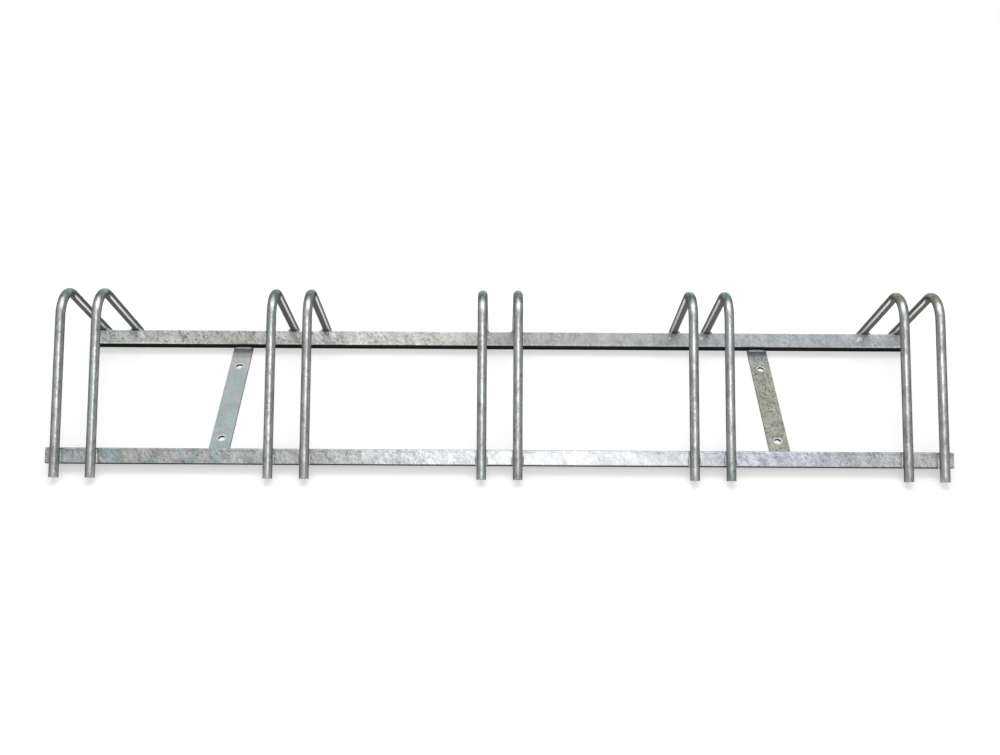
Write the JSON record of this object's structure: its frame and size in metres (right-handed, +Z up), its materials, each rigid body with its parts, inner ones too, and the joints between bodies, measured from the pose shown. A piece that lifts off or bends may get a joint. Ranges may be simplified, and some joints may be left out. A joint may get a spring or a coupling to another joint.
{
  "type": "bicycle rack",
  "caption": "Low floor rack for bicycles: pairs of bent round tubes hold each front wheel, welded across two square bars joined by flat plates with anchor holes.",
  "frame": {"origin": "on the floor, in the middle of the rectangle of the four anchor holes", "axes": "+X along the bars, +Y away from the rider who pushes a wheel in, +Z up"},
  "size_m": [1.71, 0.4357, 0.2372],
  "materials": {
    "front_bar": "hot-dip galvanised, mottled",
    "rear_bar": "hot-dip galvanised, mottled",
    "hoop": "hot-dip galvanised, bright",
    "plate": "hot-dip galvanised, dull",
    "weld": "galvanised weld bead"
  },
  "bodies": {
    "root": {"front_bar": "front_bar", "rear_bar": "rear_bar", "hoop_1_left": "hoop", "hoop_1_right": "hoop", "hoop_2_left": "hoop", "hoop_2_right": "hoop", "hoop_3_left": "hoop", "hoop_3_right": "hoop", "hoop_4_left": "hoop", "hoop_4_right": "hoop", "hoop_5_left": "hoop", "hoop_5_right": "hoop", "mounting_plate_left": "plate", "mounting_plate_right": "plate", "leg_weld_1_left": "weld", "leg_weld_1_right": "weld", "leg_weld_2_left": "weld", "leg_weld_2_right": "weld", "leg_weld_3_left": "weld", "leg_weld_3_right": "weld", "leg_weld_4_left": "weld", "leg_weld_4_right": "weld", "leg_weld_5_left": "weld", "leg_weld_5_right": "weld", "stay_weld_1_left": "weld", "stay_weld_1_right": "weld", "stay_weld_2_left": "weld", "stay_weld_2_right": "weld", "stay_weld_3_left": "weld", "stay_weld_3_right": "weld", "stay_weld_4_left": "weld", "stay_weld_4_right": "weld", "stay_weld_5_left": "weld", "stay_weld_5_right": "weld", "front_plate_weld_left": "weld", "front_plate_weld_right": "weld", "rear_plate_weld_left": "weld", "rear_plate_weld_right": "weld"}
  },
  "joints": []
}
